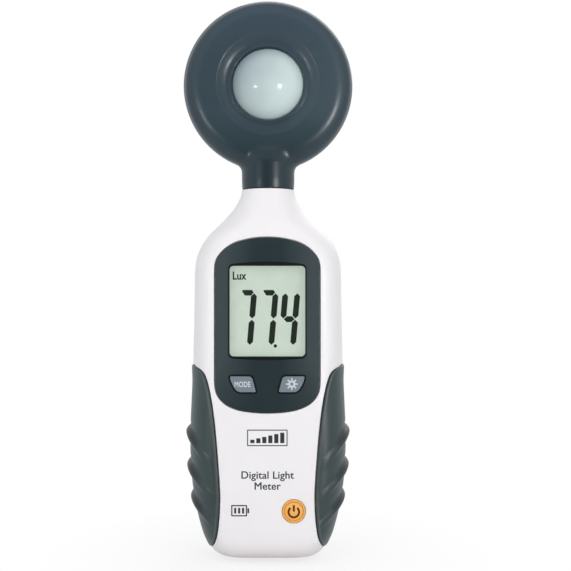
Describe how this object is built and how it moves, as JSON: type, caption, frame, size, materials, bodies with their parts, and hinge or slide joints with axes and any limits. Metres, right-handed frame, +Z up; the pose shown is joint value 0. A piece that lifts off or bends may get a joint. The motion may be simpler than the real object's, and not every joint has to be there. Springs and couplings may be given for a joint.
{
  "type": "handheld light meter",
  "caption": "Handheld light meter with a swivelling round sensor head under an opal dome, a display, push keys, rubber side grips and a tilting battery door.",
  "frame": {"origin": "centre of the meter's bottom end, midway between its frontmost and rearmost surfaces, on the level of its lowest point", "axes": "+Z up along the meter's length towards the sensor head, +Y out of the back, +X to the right of someone reading the display"},
  "size_m": [0.0626, 0.0356, 0.2049],
  "materials": {
    "white_abs": "fine satin texture",
    "dark_abs": "satin blue-grey",
    "grip_rubber": "fine matt texture",
    "bezel_abs": "satin",
    "key_grey": "satin",
    "key_orange": "satin",
    "opal_dome": "milky, polished",
    "clear_window": "clear, polished",
    "lcd_glass": "reflective display",
    "natural_plastic": "moulded",
    "pcb_green": "solder mask",
    "black_plastic": "moulded",
    "steel": "plated",
    "swivel_pom": "acetal",
    "filter_glass": "tinted glass",
    "wire_red": "insulation",
    "battery_wrap": "printed sleeve, no print"
  },
  "bodies": {
    "case": {"front_case": "white_abs", "rear_case": "white_abs", "amplifier_chip": "black_plastic", "backlight_panel": "natural_plastic", "backlight_switch": "black_plastic", "battery_9v": "battery_wrap", "battery_lead_black": "black_plastic", "battery_lead_red": "wire_red", "battery_snap": "black_plastic", "calibration_trimmer": "natural_plastic", "case_screw_1": "steel", "case_screw_2": "steel", "case_screw_3": "steel", "case_screw_4": "steel", "display_bezel": "bezel_abs", "filter_capacitor": "black_plastic", "friction_washer": "steel", "lcd_frame": "natural_plastic", "lcd_panel": "lcd_glass", "lcd_window": "clear_window", "left_grip": "grip_rubber", "main_pcb": "pcb_green", "meter_chip": "black_plastic", "mode_switch": "black_plastic", "pcb_screw_1": "steel", "pcb_screw_2": "steel", "power_switch": "black_plastic", "right_grip": "grip_rubber", "sensor_connector": "natural_plastic", "sensor_lead": "black_plastic", "swivel_bush": "natural_plastic", "zebra_strip": "black_plastic"},
    "head": {"head_front_shell": "dark_abs", "head_rear_shell": "dark_abs", "head_screw_1": "steel", "head_screw_2": "steel", "head_screw_3": "steel", "diffuser_dome": "opal_dome", "dome_ring": "black_plastic", "filter_holder": "black_plastic", "colour_filter": "filter_glass", "photodiode": "steel", "sensor_pcb": "pcb_green", "sensor_cable": "black_plastic", "swivel_hub": "swivel_pom"},
    "mode_key": {"mode_key": "key_grey", "mode_switch_plunger": "black_plastic"},
    "backlight_key": {"backlight_key": "key_grey", "backlight_switch_plunger": "black_plastic"},
    "power_key": {"power_key": "key_orange", "power_switch_plunger": "black_plastic"},
    "battery_door": {"battery_door": "white_abs"}
  },
  "joints": [
    {"name": "head_swivel", "type": "hinge", "parent": "case", "child": "head", "pos_m": [0, 0, 0.1351], "axis": [0, 0, 1], "range_deg": [-135, 135]},
    {"name": "mode_key_press", "type": "slide", "parent": "case", "child": "mode_key", "axis": [0, 1, 0], "range_m": [0, 0.0003]},
    {"name": "backlight_key_press", "type": "slide", "parent": "case", "child": "backlight_key", "axis": [0, 1, 0], "range_m": [0, 0.0003]},
    {"name": "power_key_press", "type": "slide", "parent": "case", "child": "power_key", "axis": [0, 1, 0], "range_m": [0, 0.0003]},
    {"name": "battery_door_tilt", "type": "hinge", "parent": "case", "child": "battery_door", "pos_m": [0, 0.01655, 0.0166], "axis": [-1, 0, 0], "range_deg": [0, 75]}
  ]
}
